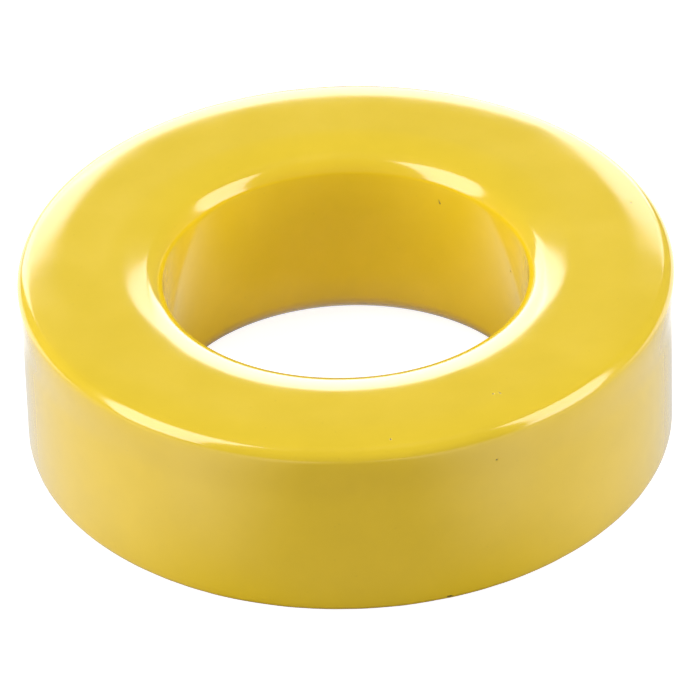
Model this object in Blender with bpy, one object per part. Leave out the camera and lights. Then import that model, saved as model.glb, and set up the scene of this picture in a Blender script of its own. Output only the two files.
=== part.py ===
# A ferrite toroid core: one solid ring of pressed ferrite under a gloss coat, all in one piece.
# Lengths are in metres and +Z is up. The ring lies on its flat underside with its bore along +Z,
# and the origin is the point of the bore's axis that is level with the underside.

import math

import bmesh
import bpy

# Driving sizes of the coated ring
WALL_DIAMETER = 0.0580          # across the straight outer wall
BORE_DIAMETER = 0.0326          # across the straight part of the bore
CORE_HEIGHT = 0.0174            # from the flat underside to the flat that runs round the top
RIM_SWELL = 0.00028             # how far the coat stands out from the wall just under the top edge
SWELL_RUN = 0.0045              # height over which the wall eases out into that swell
OUTER_SHOULDER = 0.00435        # from the rim in to where the top becomes flat
OUTER_SHOULDER_RADIUS = 0.025   # how roundly the top falls away across that shoulder
OUTER_EDGE_REACH = 0.0011       # width of the tighter edge between shoulder and outer wall
OUTER_EDGE_DROP = 0.0010        # height of that edge
INNER_SHOULDER = 0.0049         # from the bore out to where the top becomes flat
INNER_SHOULDER_RADIUS = 0.0130  # how roundly the top falls away across that shoulder
INNER_EDGE_REACH = 0.0016       # width of the tighter edge where the shoulder turns down into the bore
INNER_EDGE_DROP = 0.00095       # height of that edge
BASE_OUTER_RADIUS = 0.0006      # rounding at the foot of the outer wall, the tightest of the four
BASE_INNER_RADIUS = 0.0022      # rounding at the bore's lower end

# Fineness of the turned mesh
TURN_STEPS = 72             # flats once round the axis
SECTION_CHORD = 0.0006      # about how long the straight stretches of a rounded edge are
LEAST_ARC_STEPS = 3         # fewest straight stretches in a rounded edge
SWELL_STEPS = 5             # straight stretches up the swell
SHOULDER_STEPS = 4          # straight stretches across a shoulder

# Finish of the coat
COAT_COLOUR = (0.80, 0.52, 0.02, 1.0)
COAT_ROUGHNESS = 0.12
SMOOTH_ANGLE = math.radians(30)

wall_radius = WALL_DIAMETER / 2
bore_radius = BORE_DIAMETER / 2
rim_radius = wall_radius + RIM_SWELL
flat_outer_radius = rim_radius - OUTER_SHOULDER
flat_inner_radius = bore_radius + INNER_SHOULDER


def clear_scene():
    for thing in list(bpy.data.objects):
        bpy.data.objects.remove(thing, do_unlink=True)


def edge_arc(centre_radius, centre_height, rounding, start, end):
    """Points of a rounded edge in the ring's section, as (radius, height), from start to end in degrees."""
    sweep = math.radians(end - start)
    steps = max(LEAST_ARC_STEPS, math.ceil(rounding * sweep / SECTION_CHORD))
    points = []
    for step in range(steps + 1):
        angle = math.radians(start) + sweep * step / steps
        points.append((centre_radius + rounding * math.cos(angle),
                       centre_height + rounding * math.sin(angle)))
    return points


def top_height(radius):
    """Height of the top at a distance from the axis: a flat, with a shoulder on each side of it."""
    outward = max(0.0, radius - flat_outer_radius)
    inward = max(0.0, flat_inner_radius - radius)
    return (CORE_HEIGHT - outward * outward / (2 * OUTER_SHOULDER_RADIUS)
            - inward * inward / (2 * INNER_SHOULDER_RADIUS))


def soft_edge(wall, inward, reach, drop):
    """Points of a top edge, from an upright wall up to its shoulder; inward is -1 or 1, the way to the flat."""
    steps = max(LEAST_ARC_STEPS, math.ceil(math.hypot(reach, drop) / SECTION_CHORD))
    points = []
    for step in range(steps + 1):
        angle = math.radians(90) * step / steps
        radius = wall + inward * reach * (1 - math.cos(angle))
        points.append((radius, top_height(radius) - drop * (1 - math.sin(angle))))
    return points


def shoulder(start, end):
    """Points between two radii of the top, without the two ends."""
    radii = [start + (end - start) * step / SHOULDER_STEPS for step in range(1, SHOULDER_STEPS)]
    return [(radius, top_height(radius)) for radius in radii]


def wall_swell(top):
    """The outer wall's upper end, which eases from the wall out to the rim without a corner."""
    foot = top - SWELL_RUN
    points = []
    for step in range(SWELL_STEPS):
        rise = step / SWELL_STEPS
        ease = rise * rise * (3 - 2 * rise)
        points.append((wall_radius + RIM_SWELL * ease, foot + SWELL_RUN * rise))
    return points


def ring_section():
    """The ring's closed section, anticlockwise from the bore's lower end."""
    outer = soft_edge(rim_radius, -1, OUTER_EDGE_REACH, OUTER_EDGE_DROP)
    inner = soft_edge(bore_radius, 1, INNER_EDGE_REACH, INNER_EDGE_DROP)
    inner.reverse()
    return (
        edge_arc(bore_radius + BASE_INNER_RADIUS, BASE_INNER_RADIUS, BASE_INNER_RADIUS, 180, 270)
        + edge_arc(wall_radius - BASE_OUTER_RADIUS, BASE_OUTER_RADIUS, BASE_OUTER_RADIUS, -90, 0)
        + wall_swell(outer[0][1])
        + outer
        + shoulder(outer[-1][0], flat_outer_radius)
        + [(flat_outer_radius, CORE_HEIGHT), (flat_inner_radius, CORE_HEIGHT)]
        + shoulder(flat_inner_radius, inner[0][0])
        + inner
    )


def turned_mesh(name, section):
    """Spins a closed section once round the Z axis into a closed ring."""
    turned = bmesh.new()
    corners = [turned.verts.new((radius, 0.0, height)) for radius, height in section]
    sides = [turned.edges.new((corners[place - 1], corners[place])) for place in range(len(corners))]
    bmesh.ops.spin(turned, geom=corners + sides, axis=(0, 0, 1), cent=(0, 0, 0),
                   angle=math.tau, steps=TURN_STEPS, use_merge=True)
    bmesh.ops.recalc_face_normals(turned, faces=turned.faces)
    mesh = bpy.data.meshes.new(name)
    turned.to_mesh(mesh)
    turned.free()
    mesh.shade_smooth()
    mesh.set_sharp_from_angle(angle=SMOOTH_ANGLE)
    return mesh


def gloss_coat():
    material = bpy.data.materials.new("yellow gloss coat")
    material.use_nodes = True
    shader = material.node_tree.nodes["Principled BSDF"]
    shader.inputs["Base Color"].default_value = COAT_COLOUR
    shader.inputs["Roughness"].default_value = COAT_ROUGHNESS
    shader.inputs["Metallic"].default_value = 0.0
    return material


def add_core():
    core = bpy.data.objects.new("toroid_core", turned_mesh("toroid_core", ring_section()))
    core.data.materials.append(gloss_coat())
    bpy.context.scene.collection.objects.link(core)
    return core


clear_scene()
add_core()
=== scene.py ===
# Looks of a ferrite ring core in its yellow gloss coat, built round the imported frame.
# Lengths are in metres and +Z is up. The ring lies on the table with its bore upright.

import math

import bmesh
import bpy
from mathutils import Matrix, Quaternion, Vector, noise
from mathutils.bvhtree import BVHTree


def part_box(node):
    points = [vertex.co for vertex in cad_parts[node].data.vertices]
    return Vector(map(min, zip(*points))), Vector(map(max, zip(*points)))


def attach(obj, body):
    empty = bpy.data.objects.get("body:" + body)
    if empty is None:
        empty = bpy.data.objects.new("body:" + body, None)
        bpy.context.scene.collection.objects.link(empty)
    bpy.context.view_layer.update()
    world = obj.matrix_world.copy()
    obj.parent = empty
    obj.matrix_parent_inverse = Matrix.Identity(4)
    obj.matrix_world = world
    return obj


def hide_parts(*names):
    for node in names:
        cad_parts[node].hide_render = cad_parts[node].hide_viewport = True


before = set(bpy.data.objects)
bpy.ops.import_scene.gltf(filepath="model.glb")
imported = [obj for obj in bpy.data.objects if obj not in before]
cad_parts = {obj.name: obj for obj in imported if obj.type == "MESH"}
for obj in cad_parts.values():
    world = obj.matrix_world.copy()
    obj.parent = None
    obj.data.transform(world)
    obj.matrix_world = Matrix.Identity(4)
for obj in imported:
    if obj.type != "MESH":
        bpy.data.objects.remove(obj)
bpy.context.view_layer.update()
print("frame loaded")

micron = 1e-6
millimetre = 1e-3


# The ring's form. Its outer sizes come from the frame, its top and its edges from here.

ring = {
    "outerShoulder": 4.35 * millimetre,       # from the rim in to where the top becomes flat
    "outerShoulderRound": 25 * millimetre,
    "outerEdgeReach": 1.1 * millimetre,       # the tighter edge between shoulder and outer wall
    "outerEdgeDrop": 1.0 * millimetre,
    "innerShoulder": 4.9 * millimetre,        # from the bore out to where the top becomes flat
    "innerShoulderRound": 13 * millimetre,
    "innerEdgeReach": 1.6 * millimetre,       # the tighter edge that turns down into the bore
    "innerEdgeDrop": 0.95 * millimetre,
    "baseOuterRound": 0.6 * millimetre,
    "baseInnerRound": 2.2 * millimetre,
    "rimSwell": 0.28 * millimetre,            # how far the coat stands out under the top rim
    "swellRun": 4.5 * millimetre,             # height over which it eases out
    "turnSteps": 480,
    "flatStep": 0.45 * millimetre,            # longest stretch along flats and walls
    "shoulderStep": 0.3 * millimetre,
    "edgeStep": 0.2 * millimetre,             # longest stretch along the rounded edges
}

# The coat's own unevenness, all of it sunk inwards so that the ring keeps to its box.
# The shifts keep the patterns from lying on top of each other.
unevenness = {
    "waveDepth": 14 * micron,            # slow waves that the coat dried with
    "waveLength": 9 * millimetre,
    "peelDepth": 4 * micron,             # orange peel
    "peelLength": 2.2 * millimetre,
    "peelShift": (7, 3, 5),
    "footDepth": 45 * micron,            # ragged lower edge of the outer wall
    "footLength": 1.6 * millimetre,
    "footShift": (2, 9, 4),
    "footHeight": 0.9 * millimetre,
    "footBand": 4 * millimetre,          # how far in from the rim the ragged edge can reach
}


def frameSizes():
    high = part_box("toroid_core")[1]
    radii = [math.hypot(v.co.x, v.co.y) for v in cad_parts["toroid_core"].data.vertices]
    rim, bore = high.x, min(radii)
    return {"rim": rim, "bore": bore, "wall": rim - ring["rimSwell"], "height": high.z,
            "flatOuter": rim - ring["outerShoulder"], "flatInner": bore + ring["innerShoulder"]}


def topHeight(radius, sizes):
    outward = max(0, radius - sizes["flatOuter"])
    inward = max(0, sizes["flatInner"] - radius)
    return (sizes["height"] - outward * outward / (2 * ring["outerShoulderRound"])
            - inward * inward / (2 * ring["innerShoulderRound"]))


def straightRun(start, end, step):
    pieces = max(1, math.ceil(math.dist(start, end) / step))
    return [(start[0] + (end[0] - start[0]) * i / pieces, start[1] + (end[1] - start[1]) * i / pieces)
            for i in range(1, pieces)]


def roundedEdge(centre, rounding, startDegrees, endDegrees, step):
    start, sweep = math.radians(startDegrees), math.radians(endDegrees - startDegrees)
    pieces = max(4, math.ceil(rounding * sweep / step))
    return [(centre[0] + rounding * math.cos(start + sweep * i / pieces),
             centre[1] + rounding * math.sin(start + sweep * i / pieces)) for i in range(pieces + 1)]


def softEdge(wall, inward, reach, drop, sizes):
    # from the wall up to its shoulder; inward is -1 or 1, the way to the flat
    curved = 1.15 * math.hypot(reach, drop)  # the edge is about this much longer than its chord
    pieces = math.ceil(curved / ring["edgeStep"])
    points = []
    for i in range(pieces + 1):
        turn = math.pi / 2 * i / pieces
        radius = wall + inward * reach * (1 - math.cos(turn))
        points.append((radius, topHeight(radius, sizes) - drop * (1 - math.sin(turn))))
    return points


def swellingWall(sizes, top):
    pieces = math.ceil(ring["swellRun"] / ring["flatStep"])
    points = []
    for i in range(pieces):
        rise = i / pieces
        ease = rise * rise * (3 - 2 * rise)
        points.append((sizes["wall"] + ring["rimSwell"] * ease, top - ring["swellRun"] * (1 - rise)))
    return points


def acrossTop(start, end, step, sizes):
    pieces = math.ceil(abs(end - start) / step)
    radii = [start + (end - start) * i / pieces for i in range(1, pieces + 1)]
    return [(radius, topHeight(radius, sizes)) for radius in radii]


def ringSection(sizes):
    bore, wall, flatStep = sizes["bore"], sizes["wall"], ring["flatStep"]
    inner, outer = ring["baseInnerRound"], ring["baseOuterRound"]
    baseInner = roundedEdge((bore + inner, inner), inner, 180, 270, ring["edgeStep"])
    baseOuter = roundedEdge((wall - outer, outer), outer, -90, 0, ring["edgeStep"])
    topOuter = softEdge(sizes["rim"], -1, ring["outerEdgeReach"], ring["outerEdgeDrop"], sizes)
    topInner = softEdge(bore, 1, ring["innerEdgeReach"], ring["innerEdgeDrop"], sizes)
    topInner.reverse()
    swell = swellingWall(sizes, topOuter[0][1])
    top = acrossTop(topOuter[-1][0], sizes["flatOuter"], ring["shoulderStep"], sizes)
    top += acrossTop(sizes["flatOuter"], sizes["flatInner"], flatStep, sizes)
    top += acrossTop(sizes["flatInner"], topInner[0][0], ring["shoulderStep"], sizes)[:-1]
    return (baseInner + straightRun(baseInner[-1], baseOuter[0], flatStep)
            + baseOuter + straightRun(baseOuter[-1], swell[0], flatStep)
            + swell + topOuter + top + topInner + straightRun(topInner[-1], baseInner[0], flatStep))


def turnedRing(sizes):
    section = ringSection(sizes)
    count, turns = len(section), ring["turnSteps"]
    places = []
    for turn in range(turns):
        angle = math.tau * turn / turns
        places += [(r * math.cos(angle), r * math.sin(angle), z) for r, z in section]
    faces = []
    for turn in range(turns):
        here, there = turn * count, (turn + 1) % turns * count
        for i in range(count):
            j = (i + 1) % count
            faces.append((here + i, there + i, there + j, here + j))
    mesh = bpy.data.meshes.new("coatedRing")
    mesh.from_pydata(places, [], faces)
    return mesh


def roughAt(place, length, shift=(0, 0, 0)):
    # a smooth noise, between about 0 and 1
    return 0.5 + 0.5 * noise.noise(place / length + Vector(shift))


def settleCoat(mesh, sizes):
    normals = [Vector(v.vector) for v in mesh.vertex_normals]
    for vertex, normal in zip(mesh.vertices, normals):
        place = vertex.co.copy()
        wave = roughAt(place, unevenness["waveLength"])
        peel = roughAt(place, unevenness["peelLength"], unevenness["peelShift"])
        sink = unevenness["waveDepth"] * wave + unevenness["peelDepth"] * peel
        footNear = max(0, 1 - place.z / unevenness["footHeight"])
        if math.hypot(place.x, place.y) > sizes["rim"] - unevenness["footBand"] and place.z > 0:
            ragged = roughAt(place, unevenness["footLength"], unevenness["footShift"])
            sink += unevenness["footDepth"] * footNear * ragged
        vertex.co = place - normal * sink
    mesh.update()


# Small blemishes that the photograph shows: each is cut into the coat and shows dark ferrite

blemishes = {
    "finest": 0.045 * millimetre,        # mesh width at a blemish
    "margin": 0.35 * millimetre,         # how far round a blemish the mesh is refined
    "bowl": 0.7,                         # below 1 the hollow is flatter in its middle and steeper round it
    "bareness": 3,                       # how soon the ferrite shows, going in from the edge
    # side, angle from the front towards the right, then radius or height, width and depth in millimetres
    "pinholes": [
        ("top", 7.1, 27.56, 0.17, 0.11),
        ("top", 30.3, 24.66, 0.13, 0.08),
        ("top", 31.6, 24.95, 0.10, 0.05),
        ("top", 106.4, 26.88, 0.12, 0.04),
        ("wall", 25.5, 13.9, 0.17, 0.11),
        ("wall", -77.0, 4.5, 0.12, 0.04),
        ("bore", 147.6, 13.7, 0.15, 0.08),
        ("bore", 114.4, 10.85, 0.15, 0.08),
    ],
    "chip": {"angle": 16.3, "height": 0.32, "width": 0.55, "tall": 0.26, "depth": 0.12},
}


def refineNear(grid, place, reach):
    # halves the edges around a place until they are fine enough to be cut
    longest = blemishes["finest"] * 1.6
    while True:
        near = [edge for edge in grid.edges
                if all((v.co - place).length < reach for v in edge.verts) and edge.calc_length() > longest]
        if not near:
            return
        bmesh.ops.subdivide_edges(grid, edges=near, cuts=1, use_grid_fill=True)


def cutBlemish(grid, bare, guess, width, tall, depth):
    # a hollow with steep sides, bare of its coat except close to its edge
    place, outward = BVHTree.FromBMesh(grid).find_nearest(guess)[:2]
    across = Vector((-place.y, place.x, 0)).normalized()
    along = outward.cross(across)
    halfWidth, halfTall = width * millimetre / 2, tall * millimetre / 2
    refineNear(grid, place, max(halfWidth, halfTall) + blemishes["margin"])
    for vertex in grid.verts:
        off = vertex.co - place
        if off.length > 3 * halfWidth:
            continue
        spread = (off.dot(across) / halfWidth) ** 2 + (off.dot(along) / halfTall) ** 2
        if spread < 1:
            vertex.co -= outward * (depth * millimetre) * (1 - spread) ** blemishes["bowl"]
            vertex[bare] = max(vertex[bare], min(1, blemishes["bareness"] * (1 - spread)))


def roundTheAxis(radius, degrees, height):
    # degrees run from the front towards the right
    turn = math.radians(degrees)
    return Vector((radius * math.sin(turn), -radius * math.cos(turn), height))


def cutBlemishes(mesh, sizes):
    grid = bmesh.new()
    grid.from_mesh(mesh)
    bare = grid.verts.layers.float.new("bareFerrite")
    for side, angle, position, width, depth in blemishes["pinholes"]:
        radius = {"top": position * millimetre, "wall": sizes["rim"], "bore": sizes["bore"]}[side]
        height = sizes["height"] if side == "top" else position * millimetre
        cutBlemish(grid, bare, roundTheAxis(radius, angle, height), width, width, depth)
    chip = blemishes["chip"]
    guess = roundTheAxis(sizes["rim"], chip["angle"], chip["height"] * millimetre)
    cutBlemish(grid, bare, guess, chip["width"], chip["tall"], chip["depth"])
    grid.to_mesh(mesh)
    grid.free()
    print("blemishes cut:", len(blemishes["pinholes"]) + 1)


def buildRing():
    sizes = frameSizes()
    mesh = turnedRing(sizes)
    settleCoat(mesh, sizes)
    cutBlemishes(mesh, sizes)
    mesh.shade_smooth()
    piece = bpy.data.objects.new("coated_ring", mesh)
    bpy.context.scene.collection.objects.link(piece)
    return piece


core = buildRing()
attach(core, "root")
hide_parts("toroid_core")
print("ring turned:", len(core.data.polygons), "faces")


# Nodes that the materials share

def newMaterial(name):
    material = bpy.data.materials.new(name)
    material.use_nodes = True
    return material, material.node_tree.nodes, material.node_tree.links


def newGroup(name, inputs, outputs):
    group = bpy.data.node_groups.new(name, "ShaderNodeTree")
    for label, kind, value in inputs:
        socket = group.interface.new_socket(name=label, in_out="INPUT", socket_type=kind)
        if value is not None:
            socket.default_value = value
    for label, kind in outputs:
        group.interface.new_socket(name=label, in_out="OUTPUT", socket_type=kind)
    nodes = group.nodes
    return group, nodes, group.links, nodes.new("NodeGroupInput"), nodes.new("NodeGroupOutput")


def feed(links, socket, source):
    # a socket takes a plain number or another node's output
    if isinstance(source, (int, float)):
        socket.default_value = source
    else:
        links.new(source, socket)


def mathNode(nodes, links, operation, first, second):
    node = nodes.new("ShaderNodeMath")
    node.operation = operation
    for socket, source in zip(node.inputs, (first, second)):
        feed(links, socket, source)
    return node.outputs[0]


def mapRange(nodes, links, value, fromRange, toRange, kind="LINEAR"):
    node = nodes.new("ShaderNodeMapRange")
    node.interpolation_type = kind
    labels = ("Value", "From Min", "From Max", "To Min", "To Max")
    for label, source in zip(labels, (value, *fromRange, *toRange)):
        feed(links, node.inputs[label], source)
    return node.outputs["Result"]


def texture(nodes, links, kind, size, settings):
    # a texture whose pattern repeats at about the given size, in metres
    node = nodes.new(kind)
    for label, value in settings.items():
        node.inputs[label].default_value = value
    place = nodes.new("ShaderNodeTexCoord")
    links.new(place.outputs["Object"], node.inputs["Vector"])
    links.new(mathNode(nodes, links, "DIVIDE", 1, size), node.inputs["Scale"])
    return node


def mixColour(nodes, links, factor, first, second):
    mix = nodes.new("ShaderNodeMix")
    mix.data_type = "RGBA"
    links.new(factor, mix.inputs["Factor"])
    for socket, source in ((mix.inputs[6], first), (mix.inputs[7], second)):
        if isinstance(source, tuple):
            socket.default_value = (*source, 1)
        else:
            links.new(source, socket)
    return mix.outputs[2]


noiseMiddle = (0.3, 0.7)    # most of a noise texture's values lie between these


def unevenToneGroup():
    # strays the colour a little over slow patches and fine grain
    group, nodes, links, given, result = newGroup(
        "unevenTone",
        [("Colour", "NodeSocketColor", None), ("Spread", "NodeSocketFloat", 0.02),
         ("Patch Size", "NodeSocketFloat", 0.01)],
        [("Colour", "NodeSocketColor"), ("Patch", "NodeSocketFloat")])
    patches = texture(nodes, links, "ShaderNodeTexNoise", given.outputs["Patch Size"],
                      {"Detail": 4, "Roughness": 0.62})
    lowest = mathNode(nodes, links, "SUBTRACT", 1, given.outputs["Spread"])
    highest = mathNode(nodes, links, "ADD", 1, given.outputs["Spread"])
    gain = mapRange(nodes, links, patches.outputs["Fac"], noiseMiddle, (lowest, highest))
    tinted = nodes.new("ShaderNodeVectorMath")
    tinted.operation = "SCALE"
    links.new(given.outputs["Colour"], tinted.inputs[0])
    links.new(gain, tinted.inputs["Scale"])
    links.new(tinted.outputs["Vector"], result.inputs["Colour"])
    links.new(patches.outputs["Fac"], result.inputs["Patch"])
    return group


def fleckGroup():
    # a mask of tiny scattered specks
    group, nodes, links, given, result = newGroup(
        "flecks",
        [("Spacing", "NodeSocketFloat", 0.001), ("Size", "NodeSocketFloat", 0.1)],
        [("Mask", "NodeSocketFloat")])
    cells = texture(nodes, links, "ShaderNodeTexVoronoi", given.outputs["Spacing"], {"Randomness": 1})
    inside = mapRange(nodes, links, cells.outputs["Distance"], (0, given.outputs["Size"]), (1, 0),
                      "SMOOTHSTEP")
    links.new(inside, result.inputs["Mask"])
    return group


def orangePeelGroup():
    # height of the coat's fine dimples
    group, nodes, links, given, result = newGroup(
        "orangePeel",
        [("Dimple Size", "NodeSocketFloat", 0.0008)],
        [("Height", "NodeSocketFloat")])
    dimples = texture(nodes, links, "ShaderNodeTexNoise", given.outputs["Dimple Size"],
                      {"Detail": 2, "Roughness": 0.45})
    links.new(dimples.outputs["Fac"], result.inputs["Height"])
    return group


unevenTone = unevenToneGroup()
flecks = fleckGroup()
orangePeel = orangePeelGroup()


def useGroup(nodes, group, settings):
    node = nodes.new("ShaderNodeGroup")
    node.node_tree = group
    for label, value in settings.items():
        node.inputs[label].default_value = value
    return node


# The coat

coat = {
    "colour": (0.80, 0.568, 0.018),
    "roughness": 0.14,
    "ior": 1.5,
    "clearLayer": 0.9,
    "clearRoughness": 0.10,
    "toneSpread": 0.025,                 # how far the yellow strays from its mean
    "patchSize": 6 * millimetre,
    "fleckColour": (0.25, 0.15, 0.02),
    "fleckDarkness": 0.10,               # how much of that colour a fleck takes on
    "fleckSpacing": 1.6 * millimetre,
    "fleckSize": 0.09,                   # as a share of the spacing
    "roughnessSpread": 0.04,
    "dimpleSize": 0.9 * millimetre,
    "dimpleDepth": 4 * micron,
    "dimpleStrength": 0.5,
    "ferriteColour": (0.045, 0.030, 0.020),
    "ferriteRoughness": 0.55,
}


def yellowGlossCoat():
    material, nodes, links = newMaterial("yellowGlossCoat")
    shader = nodes["Principled BSDF"]
    shader.inputs["IOR"].default_value = coat["ior"]
    shader.inputs["Coat Weight"].default_value = coat["clearLayer"]
    shader.inputs["Coat Roughness"].default_value = coat["clearRoughness"]
    shader.inputs["Coat IOR"].default_value = coat["ior"]

    tone = useGroup(nodes, unevenTone, {"Colour": (*coat["colour"], 1), "Spread": coat["toneSpread"],
                                        "Patch Size": coat["patchSize"]})
    specks = useGroup(nodes, flecks, {"Spacing": coat["fleckSpacing"], "Size": coat["fleckSize"]})
    speckDepth = mathNode(nodes, links, "MULTIPLY", specks.outputs["Mask"], coat["fleckDarkness"])
    speckled = mixColour(nodes, links, speckDepth, tone.outputs["Colour"], coat["fleckColour"])
    bare = nodes.new("ShaderNodeAttribute")
    bare.attribute_name = "bareFerrite"
    links.new(mixColour(nodes, links, bare.outputs["Fac"], speckled, coat["ferriteColour"]),
              shader.inputs["Base Color"])

    smoothest = coat["roughness"] - coat["roughnessSpread"]
    dullest = coat["roughness"] + coat["roughnessSpread"]
    dulled = nodes.new("ShaderNodeMix")
    links.new(bare.outputs["Fac"], dulled.inputs["Factor"])
    links.new(mapRange(nodes, links, tone.outputs["Patch"], noiseMiddle, (smoothest, dullest)),
              dulled.inputs["A"])
    dulled.inputs["B"].default_value = coat["ferriteRoughness"]
    links.new(dulled.outputs["Result"], shader.inputs["Roughness"])

    peel = useGroup(nodes, orangePeel, {"Dimple Size": coat["dimpleSize"]})
    bump = nodes.new("ShaderNodeBump")
    bump.inputs["Strength"].default_value = coat["dimpleStrength"]
    bump.inputs["Distance"].default_value = coat["dimpleDepth"]
    links.new(peel.outputs["Height"], bump.inputs["Height"])
    links.new(bump.outputs["Normal"], shader.inputs["Normal"])
    return material


core.data.materials.append(yellowGlossCoat())
print("coat mixed")


# The table

table = {
    "colour": (0.48, 0.42, 0.40),        # a little warm, as the light that it throws on the wall
    "cameraGlow": 0.90,                  # added for the camera only, which brings the table to white
    "mirrorShade": (0.05, 0.05, 0.05),   # how the gloss coat sees the table close by
    "reach": 3,                          # from its middle to each edge
    "drop": 20 * micron,                 # how far it lies below the ring, so that no faces coincide
}

# Painted reflection: the table glows for the gloss coat's reflections only, brighter further out, by this
# much on each side
paintedTableReflections = [
    {"along": "X", "start": -8 * millimetre, "full": -30 * millimetre, "glow": 0.72},   # left
    {"along": "X", "start": 8 * millimetre, "full": 30 * millimetre, "glow": 0.66},     # right
    {"along": "Y", "start": -26 * millimetre, "full": -34 * millimetre, "glow": 0.2},   # front
    {"along": "Y", "start": 8 * millimetre, "full": 20 * millimetre, "glow": 0.66},     # back
]


def paleTable():
    material, nodes, links = newMaterial("paleTable")
    shader = nodes["Principled BSDF"]
    shader.inputs["Roughness"].default_value = 1.0
    shader.inputs["Specular IOR Level"].default_value = 0.0
    ray = nodes.new("ShaderNodeLightPath")
    shade = mixColour(nodes, links, ray.outputs["Is Glossy Ray"], table["colour"], table["mirrorShade"])
    links.new(shade, shader.inputs["Base Color"])
    place = nodes.new("ShaderNodeTexCoord")
    parts = nodes.new("ShaderNodeSeparateXYZ")
    links.new(place.outputs["Object"], parts.inputs[0])
    # painted reflection: a glow on the table that only glossy rays see, not light from any lamp
    paintedReflection = 0
    for side in paintedTableReflections:
        ramp = mapRange(nodes, links, parts.outputs[side["along"]], (side["start"], side["full"]),
                        (0, side["glow"]), "SMOOTHSTEP")
        paintedReflection = mathNode(nodes, links, "ADD", ramp, paintedReflection)
    mirrored = mathNode(nodes, links, "MULTIPLY", paintedReflection, ray.outputs["Is Glossy Ray"])
    seen = mathNode(nodes, links, "MULTIPLY", ray.outputs["Is Camera Ray"], table["cameraGlow"])
    shader.inputs["Emission Color"].default_value = (1, 1, 1, 1)
    links.new(mathNode(nodes, links, "ADD", mirrored, seen), shader.inputs["Emission Strength"])
    return material


def addTable():
    half, level = table["reach"], -table["drop"]
    corners = [(-half, -half, level), (half, -half, level), (half, half, level), (-half, half, level)]
    mesh = bpy.data.meshes.new("table")
    mesh.from_pydata(corners, [], [(0, 1, 2, 3)])
    mesh.materials.append(paleTable())
    piece = bpy.data.objects.new("table", mesh)
    bpy.context.scene.collection.objects.link(piece)


addTable()
print("table laid")


# The studio: soft lamps and a dim surround. Azimuth is the compass side seen from above, in degrees,
# 0 behind the ring and positive to its right. Lean turns a lamp in its own plane. Glow is brightness.

# These show in the gloss as highlights, and light nothing
highlightBoxes = [
    {"name": "leftStrip", "azimuth": -105, "elevation": 39, "lean": 22,
     "width": 1.2, "height": 2.6, "glow": 4.2},
    {"name": "rightStrip", "azimuth": 99, "elevation": 30, "lean": -22,
     "width": 1.08, "height": 2.5, "glow": 3.8},
    {"name": "backBox", "azimuth": -7, "elevation": 15.6, "lean": 3,
     "width": 2.06, "height": 0.77, "glow": 3.5},
    {"name": "backUpperLeft", "azimuth": -20, "elevation": 29.5, "lean": 0,
     "width": 0.86, "height": 0.27, "glow": 3.2},
    {"name": "backUpperRight", "azimuth": 14, "elevation": 29, "lean": 0,
     "width": 0.48, "height": 0.27, "glow": 2.8},
]

# These light the coat and the table, and don't show in the gloss
fillBoxes = [
    {"name": "leftFill", "azimuth": -109, "elevation": 37, "lean": 22,
     "width": 1.3, "height": 2.8, "glow": 1.85},
    {"name": "rightFill", "azimuth": 102, "elevation": 28, "lean": -22,
     "width": 1.15, "height": 2.0, "glow": 1.25},
    {"name": "lowLeft", "azimuth": -100, "elevation": 12, "lean": 0,
     "width": 1.6, "height": 0.8, "glow": 5.0},
    {"name": "lowRight", "azimuth": 100, "elevation": 12, "lean": 0,
     "width": 1.6, "height": 0.8, "glow": 5.6},
    {"name": "overhead", "azimuth": 0, "elevation": 80, "lean": 0,
     "width": 1.6, "height": 1.2, "glow": 2.15},
    {"name": "backFill", "azimuth": -5, "elevation": 19.5, "lean": 8,
     "width": 1.9, "height": 0.92, "glow": 2.4},
]

lampDistance = 2

# A round card that lies in the hole and throws light up the bore
boreCard = {"width": 26 * millimetre, "height": 0.3 * millimetre, "glow": 1.2}

surround = {"glow": 0.25, "seenGlow": 1.0}    # seen is what the camera sees behind the ring


def addLamp(name, shape, glow, area):
    lamp = bpy.data.lights.new(name, "AREA")
    lamp.shape = shape
    lamp.energy = glow * math.pi * area
    holder = bpy.data.objects.new(name, lamp)
    holder.visible_camera = False
    bpy.context.scene.collection.objects.link(holder)
    return lamp, holder


def addSoftbox(box, mirrored):
    lamp, holder = addLamp(box["name"], "RECTANGLE", box["glow"], box["width"] * box["height"])
    lamp.size, lamp.size_y = box["width"], box["height"]
    azimuth, elevation = math.radians(box["azimuth"]), math.radians(box["elevation"])
    away = Vector((math.sin(azimuth) * math.cos(elevation), math.cos(azimuth) * math.cos(elevation),
                   math.sin(elevation)))
    holder.location = away * lampDistance
    holder.rotation_mode = "QUATERNION"
    lean = Quaternion((0, 0, 1), math.radians(box["lean"]))
    holder.rotation_quaternion = away.to_track_quat("Z", "Y") @ lean
    holder.visible_glossy = mirrored
    holder.visible_diffuse = not mirrored


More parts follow.
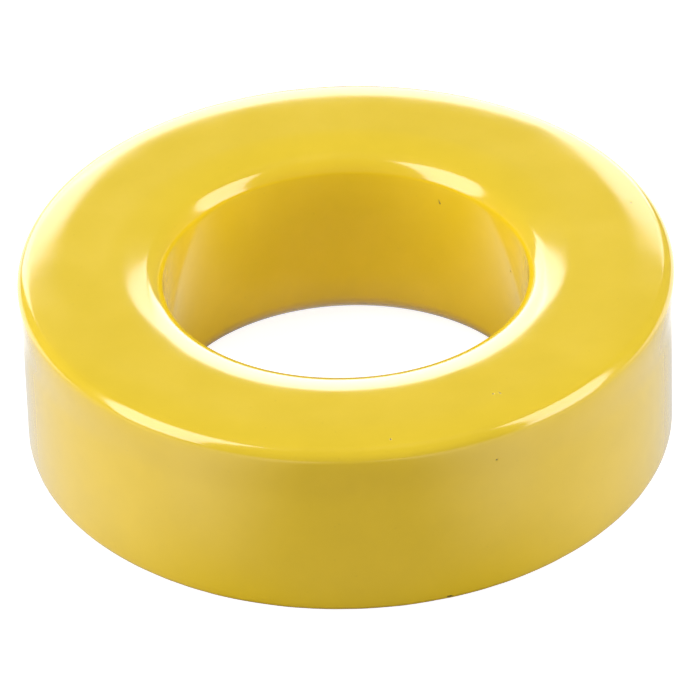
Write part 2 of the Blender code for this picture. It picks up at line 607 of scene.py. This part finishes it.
def addBoreCard():
    area = math.pi * boreCard["width"] ** 2 / 4
    lamp, holder = addLamp("boreCard", "DISK", boreCard["glow"], area)
    lamp.size = boreCard["width"]
    holder.location = (0, 0, boreCard["height"])
    holder.rotation_euler = (math.pi, 0, 0)
    holder.visible_glossy = False


def addSurround():
    world = bpy.data.worlds.new("surround")
    bpy.context.scene.world = world
    world.use_nodes = True
    nodes, links = world.node_tree.nodes, world.node_tree.links
    background = nodes["Background"]
    background.inputs["Color"].default_value = (1, 1, 1, 1)
    ray = nodes.new("ShaderNodeLightPath")
    choose = nodes.new("ShaderNodeMix")
    choose.inputs["A"].default_value = surround["glow"]
    choose.inputs["B"].default_value = surround["seenGlow"]
    links.new(ray.outputs["Is Camera Ray"], choose.inputs["Factor"])
    links.new(choose.outputs["Result"], background.inputs["Strength"])


for box in highlightBoxes:
    addSoftbox(box, mirrored=True)
for box in fillBoxes:
    addSoftbox(box, mirrored=False)
addBoreCard()
addSurround()
print("studio lit")


# The camera, at the photograph's viewing angle

camera = {
    "elevation": 35.05,
    "aimHeight": 8.8 * millimetre,
    "distance": 0.7254,       # from that point on the bore's axis
    "roll": -1.89,
    "lens": 416.8,            # in millimetres, as the sensor's width is
    "sensorWidth": 36,
    "shiftX": 0.0032,
    "shiftY": -0.0164,
    "nearest": 0.01,          # what is closer than this isn't drawn
}


def addCamera():
    lens = bpy.data.cameras.new("camera")
    lens.sensor_width = camera["sensorWidth"]
    lens.lens = camera["lens"]
    lens.shift_x = camera["shiftX"]
    lens.shift_y = camera["shiftY"]
    lens.clip_start = camera["nearest"]
    lens.dof.use_dof = False
    holder = bpy.data.objects.new("camera", lens)
    elevation = math.radians(camera["elevation"])
    back = Vector((0, -math.cos(elevation), math.sin(elevation)))
    holder.location = Vector((0, 0, camera["aimHeight"])) + back * camera["distance"]
    holder.rotation_mode = "QUATERNION"
    roll = Quaternion((0, 0, 1), math.radians(camera["roll"]))
    holder.rotation_quaternion = (-back).to_track_quat("-Z", "Y") @ roll
    bpy.context.scene.collection.objects.link(holder)
    bpy.context.scene.camera = holder


addCamera()
bpy.context.scene.view_settings.view_transform = "Standard"
print("camera set")
